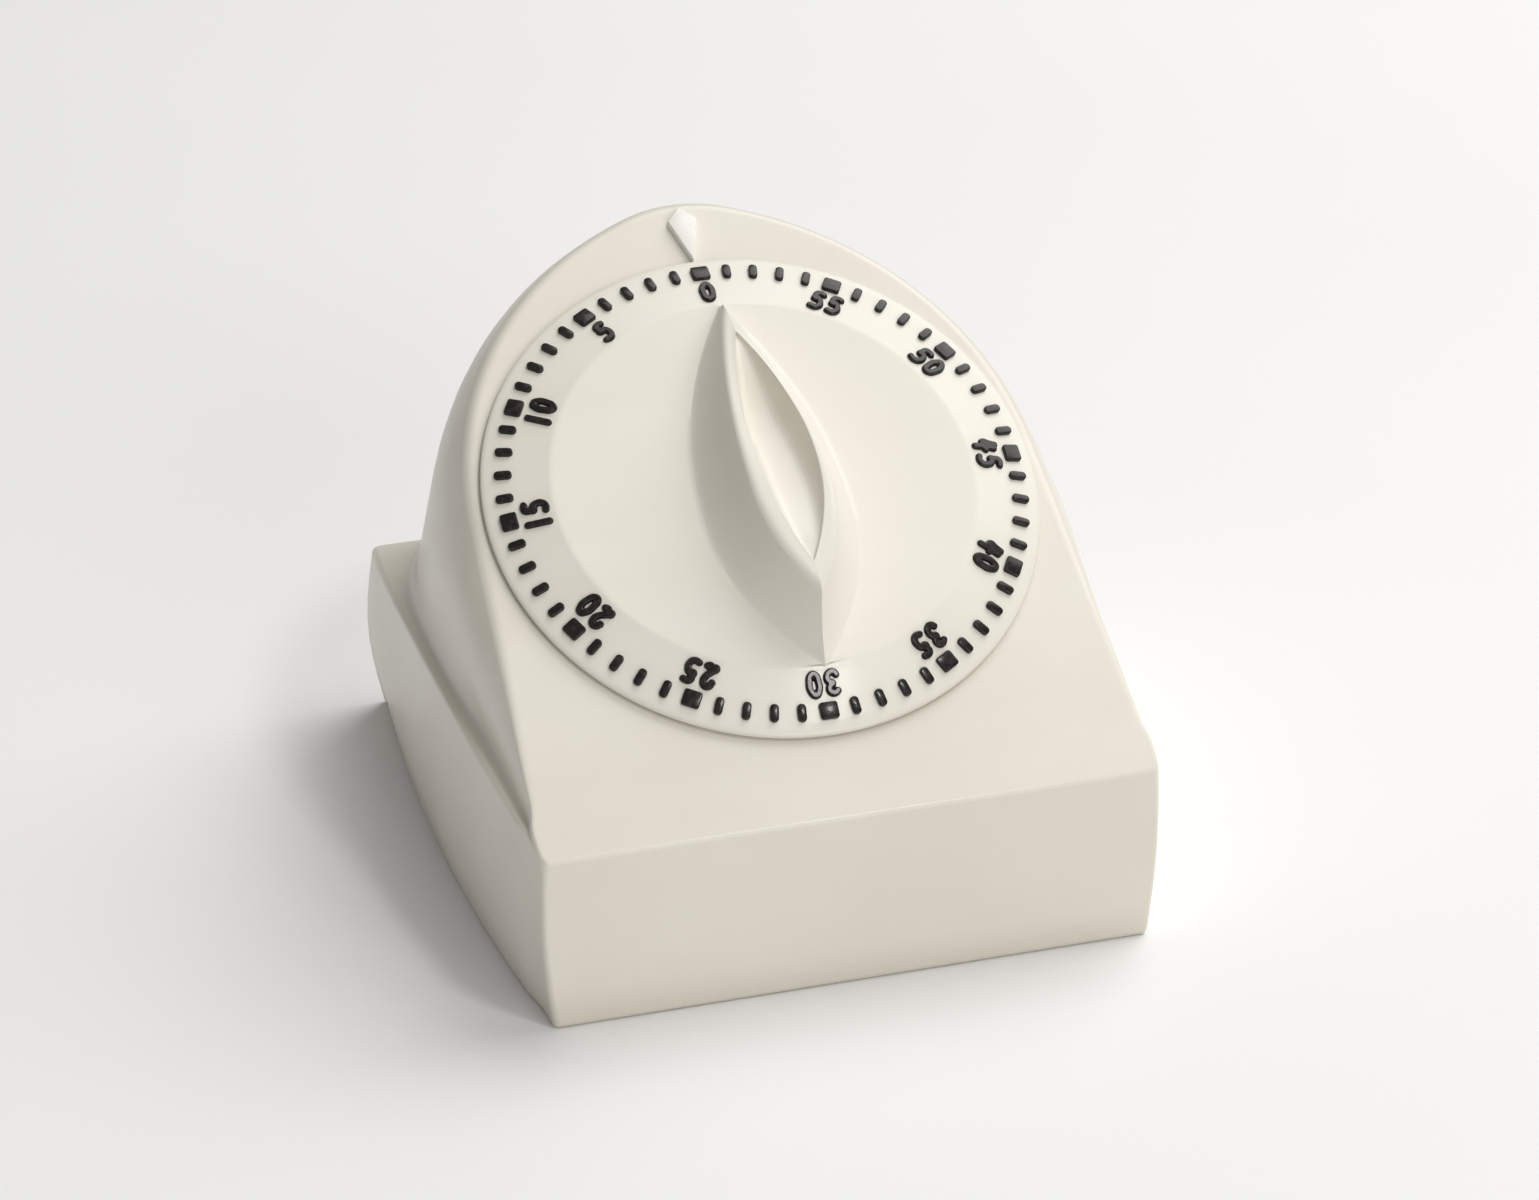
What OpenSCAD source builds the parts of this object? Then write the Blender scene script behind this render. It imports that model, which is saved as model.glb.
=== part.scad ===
// Wind-up kitchen timer: a moulded case with a sloping face, a one-hour dial and a spring-driven bell movement.
// Origin: middle of the case's footprint, on the surface it stands on. +X right, +Y back, +Z up, millimetres.
// Everything on or behind the face is drawn in the face's own frame: x across, y up the slope, z out of the face.

/* [Case] */
// Width across the front band
band_w = 70.8; // [70:0.2:72]
// How far each side bows out beyond the front band
side_bow = 3; // [2.5:0.1:3.5]
// Depth of the base, front to back
base_d = 80; // [79:0.5:82]
// Height of the front band
band_h = 21.1; // [20.5:0.1:22]
// How far the top of the base rises towards the middle of its sides
ledge_rise = 4.4; // [3.5:0.1:5]
// Slope of the face above level, in degrees
face_tilt = 32; // [31.5:0.5:33]
// Wall thickness of the moulded housing
wall = 2.4; // [2.2:0.1:2.6]

/* [Face] */
// Distance up the slope from the face's front edge to the dial's centre
dial_up = 42.2; // [42:0.1:43]
// Radius of the rounded top of the face
arch_r = 17.4; // [17:0.1:18]
// Height of that radius's centre above the dial's centre
arch_up = 23; // [22.5:0.1:23.5]
// Half the width of the face beside the dial's centre
face_half = 32.8; // [32.6:0.1:33.4]
// How far the hood behind the face grows beyond the face's outline
hood_grow = 3.3; // [2.6:0.1:3.6]
// Depth of the rounded shoulder between the face and the hood
shoulder = 3.5; // [3:0.1:4]

/* [Dial] */
// Outer radius of the dial
dial_r = 32; // [31.6:0.1:32]
// Radius of the flat disc inside the number ring
disc_r = 24.2; // [24:0.1:24.6]
// Height of the flat disc above the face
disc_h = 2.9; // [2.8:0.1:3.1]
// Height of the number ring's outer edge above the face
rim_h = 1.05; // [1:0.05:1.2]
// Gap between the dial and the face
dial_gap = 0.4; // [0.3:0.05:0.5]
// Half the length of the knob at its foot
knob_half = 24; // [23:0.1:24]
// Height of the knob above the flat disc
knob_h = 7.7; // [7:0.1:9]
// Angle the dial turns through from 0 to its stop
dial_travel = 354; // [350:1:354]

/* [Marks] */
// Radius at which the minute marks are centred
mark_r = 29.5; // [29.3:0.1:29.6]
// Height of the raised marks and numbers
mark_h = 0.45; // [0.3:0.05:0.5]
// Radius at which the numbers are centred
number_r = 26.5; // [26.4:0.1:26.6]
// Height of a digit
digit_h = 3.1; // [2.8:0.1:3.2]
// Width of a digit
digit_w = 1.9; // [1.7:0.1:2]
// Width of a digit's stroke
stroke = 0.8; // [0.6:0.05:0.9]

/* [Movement] */
// Gear module, the pitch diameter for each tooth
gear_module = 0.45; // [0.45:0.01:0.45]
// Thickness of the two movement plates
plate_t = 1; // [0.9:0.1:1.1]
// Depth of the front plate's front behind the face
front_plate_at = 5; // [5:0.1:5.2]
// Space between the movement plates
plate_space = 14; // [14:0.1:14.4]
// Outer radius of the bell
bell_r = 18; // [17.6:0.1:18.4]

/* [Hidden] */
$fn = 64;

// Small amounts: a slice for hulls, a step between surfaces that would otherwise touch, and the case's top at the crease
thin = 0.01;
hair = 0.03;
crease_step = 0.2;

case_half = band_w / 2 + side_bow;
bow_r = (pow(base_d / 2, 2) + side_bow * side_bow) / (2 * side_bow);
rise_r = (pow(base_d / 2, 2) + ledge_rise * ledge_rise) / (2 * ledge_rise);
dial_y = -base_d / 2 + dial_up * cos(face_tilt);
dial_z = band_h + dial_up * sin(face_tilt);

// The side arcs of the face meet the top arc tangentially: their centres lie on one line.
side_v = 0.8;
side_dv = arch_up - side_v;
side_cx = (side_dv * side_dv - pow(face_half - arch_r, 2)) / (2 * (face_half - arch_r));
side_r = face_half + side_cx;
side_sweep = atan2(side_dv, side_cx);
side_steps = 24;
top_steps = 8;

ring_slope = atan((disc_h - rim_h) / (dial_r - 0.3 - disc_r));
back_plate_at = front_plate_at + plate_t + plate_space;
inside_front = front_plate_at + plate_t;

arbor_r = 1.5;
pivot_r = 0.6;
run = 0.05;
screw_r = 1.1;
stop_r = 22;

// Wheel teeth and pinion leaves of the train, each wheel driving the next arbor's pinion
leaves = 8;
main_teeth = 56;
second_teeth = 52;
third_teeth = 48;
escape_teeth = 15;
function spacing(teeth) = (teeth + leaves) * gear_module / 2;
function at(from, distance, angle) = from + distance * [cos(angle), sin(angle)];

// Directions from one arbor to the next, and the arbors' places in the face frame
second_dir = 200;
third_dir = -55;
escape_dir = 10;
second_at = at([0, 0], spacing(main_teeth), second_dir);
third_at = at(second_at, spacing(second_teeth), third_dir);
escape_at = at(third_at, spacing(third_teeth), escape_dir);
balance_at = at(escape_at, 7.6, 10);
hammer_at = [14, 6];
lever_at = [-14.5, 9.2];
bell_at = [0, 5];
spring_stud_at = at([0, 0], 9.7, 45);
hair_stud_at = at(balance_at, 4.1, 0);
pillar_at = [[-17.5, 13], [17.5, 13], [-18.5, -22], [18.5, -22]];
movement_screw_at = [[-17.5, 4.5], [17.8, 3.6], [0, -21.8]];
base_screw_at = [[-31.8, -27], [31.8, -27], [-31.8, 27], [31.8, 27]];

hammer_head_at = at(bell_at, bell_r - 3, -60);
hammer_spring_at = [17.4, -3];

// The base plate sits a little way up inside the case's foot
base_plate_top = 2;
base_plate_t = 1.2;
post_r = 3.2;
post_h = 10;

// The knob's top outline, its foot's half width, and the shares of its height at which its hollow sides are drawn
knob_steps = 16;
knob_top_l = 19.2;
knob_top_w = 4.6;
knob_foot_w = 6.8;
knob_levels = [0, 0.12, 0.26, 0.44, 0.66, 1];
scoop_half = 15.2;
scoop_w = 3.05;
scoop_depth = 4;

// Tooth shape: pressure angle, height above and below the pitch circle in modules, and the play on each flank
pressure = 25;
addendum = 0.7;
dedendum = 0.95;
flank_relief = 0.03;
pinion_w = 1.5;
arbor_shoulder_r = 0.9;

// Depths behind the face at which each moving layer starts
cam_at = inside_front + 0.6;
main_at = inside_front + 2;
third_at_depth = inside_front + 4.4;
spring_at = inside_front + 5.6;
escape_at_depth = inside_front + 7.5;
balance_at_depth = inside_front + 9.2;
second_at_depth = inside_front + 11.6;
hammer_layer = back_plate_at + plate_t + 1;
bell_layer = back_plate_at + plate_t + 3.5;
bell_height = 8;
bell_t = 0.8;
bell_hole_r = 1.4;
spring_w = 5.4;

/* ---- Frames and shared shapes ---- */

// Places its children in the face's frame, with the origin at the dial's centre
module face_frame() {
    translate([0, dial_y, dial_z])
        rotate([face_tilt, 0, 0])
            children();
}

// A slab of the given thickness whose front lies this deep behind the face
module layer(depth, thickness) {
    translate([0, 0, -depth - thickness])
        linear_extrude(thickness)
            children();
}

module rod(place, depth, length, radius) {
    translate([place[0], place[1], -depth - length])
        cylinder(r = radius, h = length);
}

// The base seen from above: straight front and back, bowed sides
module plan(inset) {
    intersection() {
        square([4 * case_half, base_d - 2 * inset], center = true);
        for_both_sides_meet(bow_r - case_half)
            circle(r = bow_r - inset, $fn = 256);
    }
}

// The overlap of a shape and its mirror image, each moved this far past the middle
module for_both_sides_meet(offset_x) {
    intersection() {
        translate([-offset_x, 0])
            children();
        translate([offset_x, 0])
            children();
    }
}

// The face's outline from the dial's level up, grown outwards: one side arc and half of the top arc, then their mirror
function arch_half(grow) = concat(
    [for (i = [0 : side_steps])
        let (a = side_sweep * i / side_steps)
            [(side_r + grow) * cos(a) - side_cx, side_v + (side_r + grow) * sin(a)]],
    [for (i = [1 : top_steps])
        let (a = side_sweep + (90 - side_sweep) * i / top_steps)
            [(arch_r + grow) * cos(a), arch_up + (arch_r + grow) * sin(a)]]
);

module arch_outline(grow) {
    right = arch_half(grow);
    left = [for (i = [side_steps + top_steps - 1 : -1 : 0]) [-right[i][0], right[i][1]]];
    polygon(concat(right, left));
}

// The face's outline below the dial's level: straight sides that widen to the front band and a little past it
module skirt_outline(grow, foot_grow) {
    half = face_half + grow;
    foot = band_w / 2 + foot_grow;
    polygon([[-half, side_v], [half, side_v], [foot, -dial_up - 2], [-foot, -dial_up - 2]]);
}

module face_outline(grow, foot_grow) {
    arch_outline(grow);
    skirt_outline(grow, foot_grow);
}

/* ---- Case ---- */

module base_block(inset) {
    intersection() {
        translate([0, 0, -inset])
            linear_extrude(3 * band_h)
                plan(inset);
        rotate([90, 0, 90])
            linear_extrude(4 * case_half, center = true)
                intersection() {
                    translate([0, band_h - crease_step + ledge_rise - rise_r])
                        circle(r = rise_r - inset, $fn = 256);
                    translate([-base_d, -inset])
                        square([2 * base_d, 3 * band_h]);
                }
    }
}

// The hood runs square to the face, back and down into the base
module hood(depth, grow, foot_grow) {
    face_frame()
        translate([0, 0, -depth - 80])
            linear_extrude(80)
                face_outline(grow, foot_grow);
}

// The rounded shoulder widens from the face's outline and ends a hair inside the hood
module hood_shoulder() {
    face_frame() {
        hull() {
            layer(0, thin) arch_outline(0);
            layer(shoulder, 0.3) arch_outline(hood_grow - hair);
        }
        hull() {
            layer(0, thin) skirt_outline(0, 0);
            layer(shoulder, 0.3) skirt_outline(hood_grow - hair, -hair);
        }
    }
}

// The space the case may fill: above the table and no further forward or back than the base
module case_bounds(inset) {
    translate([-2 * case_half, -base_d / 2 + inset, -inset])
        cube([4 * case_half, base_d - 2 * inset, 100]);
}

module housing_outside() {
    base_block(0);
    intersection() {
        union() {
            hood(shoulder, hood_grow, 0);
            hood_shoulder();
        }
        case_bounds(0);
    }
}

module housing_inside() {
    base_block(wall);
    intersection() {
        hood(wall, hood_grow - wall, -wall);
        case_bounds(wall);
    }
}

module housing() {
    color("#e9e4d6")
    difference() {
        union() {
            difference() {
                housing_outside();
                housing_inside();
            }
            for (p = base_screw_at)
                translate([p[0], p[1], base_plate_top])
                    cylinder(r = post_r, h = post_h);
            face_frame() {
                for (p = movement_screw_at)
                    rod(p, wall - 0.5, front_plate_at - wall + 0.5, 3);
                stop_block(270, -0.5, disc_h - 1.75);
            }
        }
        for (p = base_screw_at)
            translate([p[0], p[1], 0])
                cylinder(r = screw_r, h = 12);
        face_frame() {
            rod([0, 0], -1, 10, 4.6);
            for (p = movement_screw_at)
                rod(p, 1.4, 10, screw_r);
        }
    }
}

// One half of the dial's stop: a small block under the dial, at the given angle and height
module stop_block(angle, low, high) {
    rotate([0, 0, angle])
        translate([stop_r - 1, -0.5, low])
            cube([2, 1, high - low]);
}

module pointer() {
    color("#f4f1e8")
    face_frame()
        linear_extrude(1)
            polygon([[0, 32.2], [1.65, 37.9], [0, 39.7], [-1.65, 37.9]]);
}

module base_plate() {
    color("#b9b8b2")
    translate([0, 0, base_plate_top - base_plate_t])
        linear_extrude(base_plate_t)
            difference() {
                plan(wall + 0.3);
                for (p = base_screw_at)
                    translate(p)
                        circle(r = screw_r + 0.2);
                for (i = [-2 : 2])
                    translate([0, 5.5 * i])
                        sound_slot();
            }
}

module sound_slot() {
    square([24, 2.4], center = true);
    for (side = [-1, 1])
        translate([12 * side, 0])
            circle(r = 1.2);
}

module base_screws() {
    color("#9a9a98")
    for (p = base_screw_at)
        translate([p[0], p[1], 0]) {
            translate([0, 0, 0.1])
                screw_head(2.1, 0.7);
            translate([0, 0, 0.8])
                cylinder(r = screw_r, h = 8);
        }
}

// A round head with a straight slot across its outer side
module screw_head(radius, height) {
    difference() {
        cylinder(r = radius, h = height);
        translate([-radius - 1, -0.25, -0.01])
            cube([2 * radius + 2, 0.5, height / 2]);
    }
}

/* ---- Dial and knob ---- */

module dial() {
    color("#ece7da")
    face_frame()
        difference() {
            union() {
                rotate_extrude($fn = 128)
                    polygon([
                        [0, disc_h], [disc_r, disc_h], [dial_r - 0.3, rim_h], [dial_r, rim_h - 0.3],
                        [dial_r, dial_gap], [dial_r - 1.4, dial_gap], [disc_r - 0.2, disc_h - 1.45],
                        [4, disc_h - 1.45], [4, -front_plate_at + 0.6], [0, -front_plate_at + 0.6]
                    ]);
                knob();
                stop_block(270 - (360 - dial_travel) / 2, dial_gap + 0.05, disc_h - 1.4);
            }
            knob_scoop();
            translate([0, 0, -front_plate_at])
                cylinder(r = arbor_r, h = front_plate_at + 5);
        }
}

// A pointed boat shape: half its length and half its width give the radius of its two arcs
function lens_arc(half_l, half_w) = (half_l * half_l + half_w * half_w) / (2 * half_w);
function lens_x(half_l, half_w, y) =
    sqrt(max(0, pow(lens_arc(half_l, half_w), 2) - y * y)) - lens_arc(half_l, half_w) + half_w;
function lens(half_l, half_w, steps) = concat(
    [for (i = [0 : steps - 1]) let (y = half_l * cos(180 * i / steps)) [lens_x(half_l, half_w, y), y]],
    [for (i = [0 : steps - 1]) let (y = -half_l * cos(180 * i / steps)) [-lens_x(half_l, half_w, y), y]]
);

// The sides flare out towards the foot on a hollow curve
function knob_flare(t) = pow(1 - t, 2.2);

module knob() {
    count = 2 * knob_steps;
    rings = len(knob_levels);
    points = [
        for (t = knob_levels)
            for (p = lens(
                knob_top_l + (knob_half - knob_top_l) * (1 - t),
                knob_top_w + (knob_foot_w - knob_top_w) * knob_flare(t),
                knob_steps
            ))
                [p[0], p[1], disc_h - 0.2 + (knob_h + 0.2) * t]
    ];
    sides = [
        for (r = [0 : rings - 2])
            for (i = [0 : count - 1])
                let (a = r * count + i, b = r * count + (i + 1) % count)
                    [a, b, b + count, a + count]
    ];
    foot = [[for (i = [0 : count - 1]) count - 1 - i]];
    top = [[for (i = [0 : count - 1]) (rings - 1) * count + i]];
    polyhedron(points, concat(sides, foot, top), convexity = 6);
}

// The long hollow in the top of the knob, scooped along its length
module knob_scoop() {
    arc_half = scoop_half + 0.6;
    scoop_r = (arc_half * arc_half + scoop_depth * scoop_depth) / (2 * scoop_depth);
    top = disc_h + knob_h;
    intersection() {
        translate([0, 0, top - scoop_depth])
            linear_extrude(scoop_depth + 1)
                for_both_sides_meet(lens_arc(scoop_half, scoop_w) - scoop_w)
                    circle(r = lens_arc(scoop_half, scoop_w), $fn = 128);
        translate([0, 0, top - scoop_depth + scoop_r])
            rotate([0, 90, 0])
                cylinder(r = scoop_r, h = 10, center = true, $fn = 128);
    }
}

// Stands its children on the sloping number ring, at the given angle round the dial and distance from its centre
module on_ring(angle, radius) {
    rotate([0, 0, angle])
        translate([0, radius, disc_h - (radius - disc_r) * tan(ring_slope)])
            rotate([-ring_slope, 0, 0])
                children();
}

module minute_marks() {
    color("#1c1b1a")
    face_frame()
        for (minute = [0 : 59])
            on_ring(6 * minute, mark_r)
                linear_extrude(mark_h)
                    if (minute % 5 == 0)
                        square([2.1, 1.9], center = true);
                    else
                        bar(1.05, 0.95);
}

// A short upright bar with round ends
module bar(straight, width) {
    square([width, straight], center = true);
    for (side = [-1, 1])
        translate([0, side * straight / 2])
            circle(r = width / 2, $fn = 24);
}

// Each digit's strokes, as points in a box one unit wide and one high
function arc_points(cx, cy, rx, ry, from, to, steps) = [
    for (i = [0 : steps]) let (a = from + (to - from) * i / steps) [cx + rx * cos(a), cy + ry * sin(a)]
];
function digit_strokes(d) =
    d == 0 ? [arc_points(0.5, 0.5, 0.5, 0.5, 0, 360, 10)] :
    d == 1 ? [[[0.5, 0], [0.5, 1]]] :
    d == 2 ? [concat(arc_points(0.45, 0.72, 0.45, 0.28, 170, -40, 5), [[0, 0], [1, 0]])] :
    d == 3 ? [concat(arc_points(0.45, 0.75, 0.42, 0.25, 150, -80, 5), arc_points(0.45, 0.26, 0.5, 0.26, 80, -150, 6))] :
    d == 4 ? [[[0.72, 0], [0.72, 1], [0, 0.35], [1, 0.35]]] :
    [concat([[0.95, 1], [0.15, 1], [0.08, 0.58]], arc_points(0.42, 0.31, 0.55, 0.31, 110, -140, 6))];

function bearing(a, b) = atan2(b[1] - a[1], b[0] - a[0]);

// Draws a digit centred on its box, its strokes as straight bars with round joints
module digit(d) {
    for (line = digit_strokes(d)) {
        pts = [for (p = line) [(p[0] - 0.5) * (digit_w - stroke), (p[1] - 0.5) * (digit_h - stroke)]];
        for (p = pts)
            translate(p)
                circle(r = stroke / 2, $fn = 16);
        for (i = [1 : len(pts) - 1])
            translate(pts[i - 1])
                rotate([0, 0, bearing(pts[i - 1], pts[i])])
                    translate([0, -stroke / 2])
                        square([norm(pts[i] - pts[i - 1]), stroke]);
    }
}

module minute_numbers() {
    pitch = digit_w + 0.35;
    color("#1c1b1a")
    face_frame()
        for (minute = [0 : 5 : 55]) {
            tens = floor(minute / 10);
            on_ring(6 * minute, number_r)
                linear_extrude(mark_h)
                    if (minute < 10)
                        digit(minute);
                    else {
                        translate([-pitch / 2, 0])
                            digit(tens);
                        translate([pitch / 2, 0])
                            digit(minute % 10);
                    }
        }
}

/* ---- Dial arbor and what turns with it ---- */

module dial_arbor() {
    color("#c9c7c0")
    face_frame()
        rod([0, 0], -5, back_plate_at + plate_t + 4.9, arbor_r);
}

module on_arbor(depth, thickness) {
    face_frame()
        layer(depth, thickness)
            difference() {
                children();
                circle(r = arbor_r);
            }
}

module thrust_washer() {
    color("#b08a4a")
    on_arbor(front_plate_at - 0.55, 0.5)
        circle(r = 3.2);
}

module alarm_cam() {
    color("#c2a35a")
    on_arbor(cam_at, 0.8)
        difference() {
            circle(r = 7);
            rotate([0, 0, 120])
                translate([5.6, -1.1])
                    square([3, 2.2]);
        }
}

module ratchet_wheel() {
    teeth = 18;
    color("#a9a9a6")
    on_arbor(main_at + 0.95, 0.7)
        polygon([
            for (i = [0 : teeth - 1])
                for (side = [0, 1])
                    let (a = 360 * (i + 0.85 * side) / teeth, r = side == 0 ? 3.3 : 4)
                        [r * cos(a), r * sin(a)]
        ]);
}

// The pawl riveted to the main wheel, with its nose at the ratchet wheel
module click() {
    color("#a9a9a6")
    face_frame()
        layer(main_at + 0.95, 0.7)
            rotate([0, 0, 75]) {
                translate([8.6, 0])
                    circle(r = 1.1);
                polygon([[8.6, 1.1], [4.6, 2.1], [4.15, 0.9], [8.2, -0.9]]);
            }
}

/* ---- Gears ---- */

function involute(angle) = tan(angle) * 180 / PI - angle;
// Half the angle a tooth fills at the given radius
function tooth_half(teeth, r) =
    let (pitch_radius = teeth * gear_module / 2,
         base_radius = pitch_radius * cos(pressure))
    90 / teeth - flank_relief / pitch_radius * 180 / PI
        + involute(pressure) - involute(acos(min(1, base_radius / max(r, base_radius))));

function tooth_radii(teeth) =
    let (p = teeth * gear_module / 2)
    [p - dedendum * gear_module, p - 0.4 * gear_module, p + 0.2 * gear_module, p + addendum * gear_module];

// Toothed outline with a tooth centred on the given angle
module gear_outline(teeth, phase) {
    radii = tooth_radii(teeth);
    polygon([
        for (i = [0 : teeth - 1])
            for (k = [0 : 7])
                let (j = k < 4 ? k : 7 - k,
                     r = radii[j],
                     side = k < 4 ? -1 : 1,
                     a = phase + 360 * i / teeth + side * tooth_half(teeth, r))
                    [r * cos(a), r * sin(a)]
    ]);
}

// The phase that puts a pinion in mesh with a wheel whose tooth is centred on angle 0
function mesh_phase(wheel_teeth, direction, pinion_teeth) =
    direction + 180 - 360 / pinion_teeth * (0.5 - direction * wheel_teeth / 360);

// Four windows that leave a rim, a hub and four spokes
module windows(hub_r, rim_r, spoke_w) {
    difference() {
        circle(r = rim_r);
        circle(r = hub_r);
        for (a = [45, 135])
            rotate([0, 0, a])
                square([3 * rim_r, spoke_w], center = true);
    }
}

module wheel(teeth, bore_r) {
    difference() {
        gear_outline(teeth, 0);
        windows(3.2, teeth * gear_module / 2 - 1.8, 1.6);
        circle(r = bore_r);
    }
}

module main_wheel() {
    color("#c2a35a")
    face_frame() {
        layer(main_at, 0.9)
            difference() {
                gear_outline(main_teeth, 0);
                circle(r = arbor_r);
                for (a = [120, 210, 300, 0])
                    rotate([0, 0, a])
                        translate([8.2, 0])
                            circle(r = 2.2);
            }
    }
}

// An arbor with its pinion: a rod with thinner pivots that run in the two plates
module pinion_arbor(place, pinion_depth, direction, driver_teeth) {
    face_frame() {
        rod(place, inside_front + 0.3, plate_space - 0.6, arbor_shoulder_r);
        rod(place, front_plate_at - 0.2, plate_space + 2 * plate_t + 0.4, pivot_r);
        translate([place[0], place[1], 0])
            layer(pinion_depth, pinion_w)
                gear_outline(leaves, mesh_phase(driver_teeth, direction, leaves));
    }
}

module second_arbor() {
    color("#a9a9a6")
    pinion_arbor(second_at, main_at - 0.3, second_dir, main_teeth);
}

module second_wheel() {
    color("#c2a35a")
    face_frame()
        translate([second_at[0], second_at[1], 0])
            layer(second_at_depth, 0.7)
                wheel(second_teeth, arbor_shoulder_r);
}

module third_arbor() {
    color("#a9a9a6")
    pinion_arbor(third_at, second_at_depth - 0.4, third_dir, second_teeth);
}

module third_wheel() {
    color("#c2a35a")
    face_frame()
        translate([third_at[0], third_at[1], 0])
            layer(third_at_depth, 0.7)
                wheel(third_teeth, arbor_shoulder_r);
}

module escape_arbor() {
    color("#a9a9a6")
    pinion_arbor(escape_at, third_at_depth - 0.4, escape_dir, third_teeth);
}

module escape_wheel() {
    color("#c2a35a")
    face_frame()
        translate([escape_at[0], escape_at[1], 0])
            layer(escape_at_depth, 0.7)
                difference() {
                    polygon([
                        for (i = [0 : escape_teeth - 1])
                            for (side = [0, 1, 2])
                                let (a = 360 * (i + [0, 0.55, 0.75][side]) / escape_teeth,
                                     r = [3.7, 5, 4.9][side])
                                    [r * cos(a), r * sin(a)]
                    ]);
                    circle(r = 0.9);
                }
}

/* ---- Balance ---- */

module balance_staff() {
    color("#a9a9a6")
    face_frame() {
        rod(balance_at, inside_front + 0.3, plate_space - 0.6, 0.7);
        rod(balance_at, front_plate_at - 0.2, plate_space + 2 * plate_t + 0.4, 0.4);
        rod(balance_at, escape_at_depth + 1.1, 0.4, 2.5);
        for (side = [-1, 1])
            rod(at(balance_at, 2, 190 + 50 * side), escape_at_depth - 0.3, 1.6, 0.3);
    }
}

module balance_wheel() {
    color("#c2a35a")
    face_frame()
        translate([balance_at[0], balance_at[1], 0])
            layer(balance_at_depth, 0.8)
                difference() {
                    circle(r = 6.2);
                    difference() {
                        circle(r = 5);
                        circle(r = 1.8);
                        square([11, 1.2], center = true);
                    }
                    circle(r = 0.7);
                }
}

// A flat spiral band: points out along its outer side and back along its inner side
function spiral_point(r0, growth, turns, a, side) =
    let (r = r0 + growth * a / 360 + side) [r * cos(a - 360 * turns), r * sin(a - 360 * turns)];
module spiral(r0, growth, turns, band, step) {
    last = round(360 * turns / step);
    polygon(concat(
        [for (i = [0 : last]) spiral_point(r0, growth, turns, i * step, band / 2)],
        [for (i = [last : -1 : 0]) spiral_point(r0, growth, turns, i * step, -band / 2)]
    ));
}

module hairspring() {
    color("#6f7a8c")
    face_frame()
        translate([balance_at[0], balance_at[1], 0])
            layer(spring_at, 0.5)
                spiral(1.1, 0.6, 4, 0.16, 20);
}

/* ---- Frame ---- */

module plate_outline() {
    hull()
        for (p = pillar_at)
            translate(p)
                circle(r = 2.6);
}

module plate_holes() {
    circle(r = arbor_r + run);
    for (p = [second_at, third_at, escape_at, hammer_at])
        translate(p)
            circle(r = pivot_r + run);
    translate(balance_at)
        circle(r = 0.4 + run);
    for (p = pillar_at)
        translate(p)
            circle(r = 1);
}

module front_plate() {
    color("#bdbcb6")
    face_frame()
        layer(front_plate_at, plate_t)
            difference() {
                plate_outline();
                plate_holes();
                for (p = movement_screw_at)
                    translate(p)
                        circle(r = screw_r + 0.2);
                for (p = [lever_at, hair_stud_at])
                    translate(p)
                        circle(r = 0.5);
            }
}

module back_plate() {
    color("#bdbcb6")
    face_frame()
        layer(back_plate_at, plate_t)
            difference() {
                plate_outline();
                plate_holes();
                translate(bell_at)
                    circle(r = 1);
                translate(spring_stud_at)
                    circle(r = 0.5);
                translate(hammer_spring_at)
                    circle(r = 0.5);
            }
}

module pillars() {
    color("#a9a9a6")
    face_frame()
        for (p = pillar_at) {
            rod(p, inside_front, plate_space, 1.75);
            rod(p, front_plate_at, plate_space + 2 * plate_t + 1.6, 1);
        }
}

module pillar_nuts() {
    color("#c9c7c0")
    face_frame()
        for (p = pillar_at)
            translate([p[0], p[1], 0])
                layer(back_plate_at + plate_t, 1.3)
                    difference() {
                        circle(r = 2.1, $fn = 6);
                        circle(r = 1);
                    }
}

module movement_screws() {
    color("#c9c7c0")
    face_frame()
        for (p = movement_screw_at) {
            rod(p, 1.6, inside_front - 1.6, screw_r);
            translate([p[0], p[1], -inside_front - 0.9])
                screw_head(1.9, 0.9);
        }
}

// Small studs riveted in the plates: one carries the alarm lever, two hold the ends of the springs
module plate_studs() {
    color("#a9a9a6")
    face_frame() {
        rod(lever_at, front_plate_at, plate_t + 2, 0.5);
        rod(hair_stud_at, front_plate_at, spring_at + 0.5 - front_plate_at, 0.5);
        rod(spring_stud_at, back_plate_at, plate_t, 0.5);
        rod(spring_stud_at, spring_at, back_plate_at - spring_at, 0.9);
    }
}

module mainspring() {
    color("#5d6470")
    face_frame()
        layer(spring_at, spring_w)
            rotate([0, 0, 45])
                spiral(2.3, 0.9, 7, 0.36, 15);
}

/* ---- Alarm ---- */

module alarm_lever() {
    tip = at([0, 0], 8.2, 120);
    color("#bdbcb6")
    face_frame()
        layer(cam_at, 0.8)
            difference() {
                union() {
                    translate(lever_at)
                        circle(r = 1.8);
                    translate(lever_at)
                        rotate([0, 0, bearing(lever_at, tip)])
                            translate([0, -0.7])
                                square([norm(tip - lever_at), 1.4]);
                    translate(tip)
                        circle(r = 0.8);
                }
                translate(lever_at)
                    circle(r = 0.5 + run);
            }
}

module hammer_arbor() {
    color("#a9a9a6")
    face_frame() {
        rod(hammer_at, inside_front + 0.3, plate_space - 0.6, 0.9);
        rod(hammer_at, front_plate_at - 0.2, plate_space + 2 * plate_t + 2.4, pivot_r);
    }
}

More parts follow.
